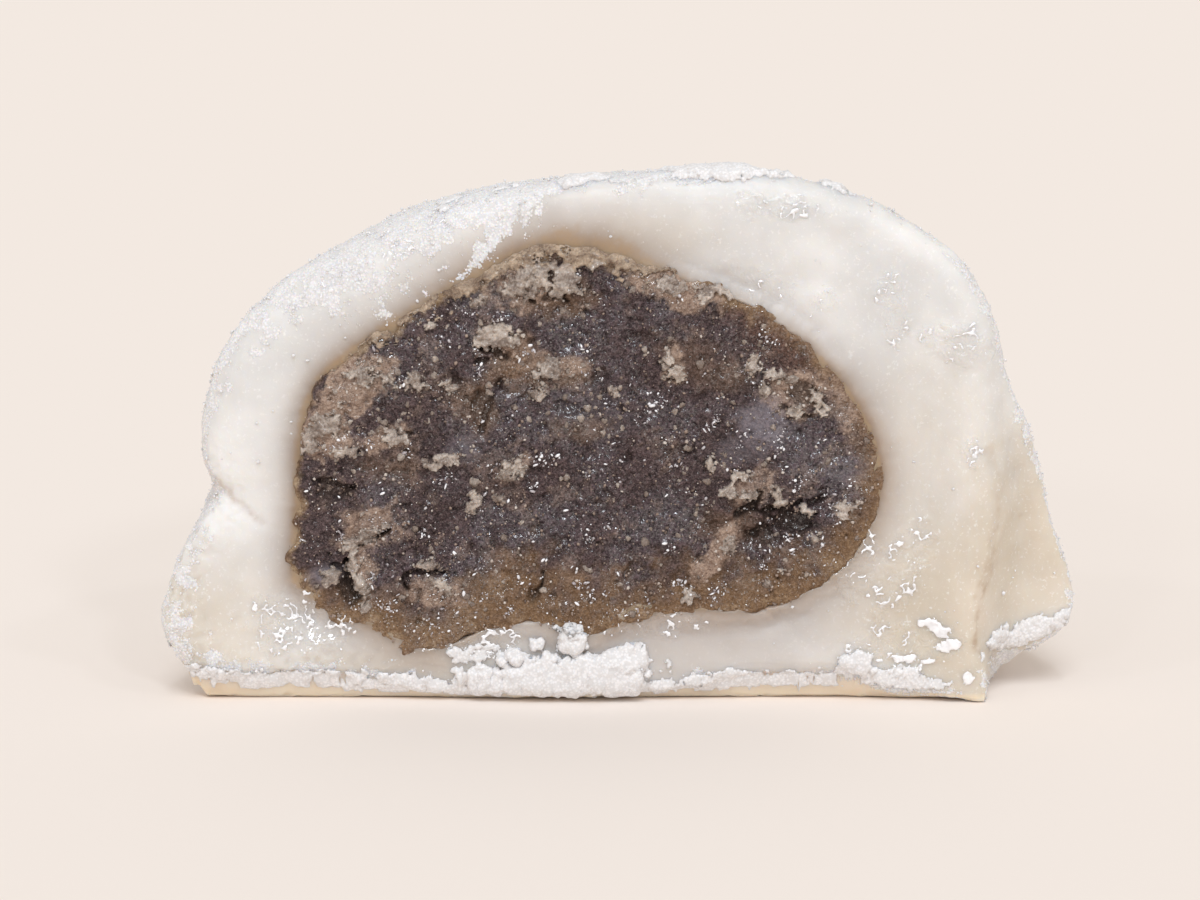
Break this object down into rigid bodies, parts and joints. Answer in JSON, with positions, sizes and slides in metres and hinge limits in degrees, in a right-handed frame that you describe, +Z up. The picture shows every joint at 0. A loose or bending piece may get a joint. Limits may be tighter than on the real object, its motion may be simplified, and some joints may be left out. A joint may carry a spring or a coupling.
{
  "type": "mochi rice cake half",
  "caption": "Half of a soft round rice cake with a sweet bean paste filling, cut upright and resting on its flat base.",
  "frame": {"origin": "middle of the footprint's box, on the flat base at z = 0", "axes": "+Z up, the cut face looks along -Y, +X to the right as one looks at the cut face"},
  "size_m": [0.0614, 0.029, 0.0353],
  "materials": {
    "rice_dough": "milky, slightly see-through and moist where cut, dusted with white starch outside",
    "bean_paste": "dense, grainy and moist, dark purple-brown with paler crumbs",
    "starch_flour": "dry white powder, matte"
  },
  "bodies": {
    "root": {"dough_skin": "rice_dough", "bean_paste": "bean_paste"}
  },
  "joints": []
}
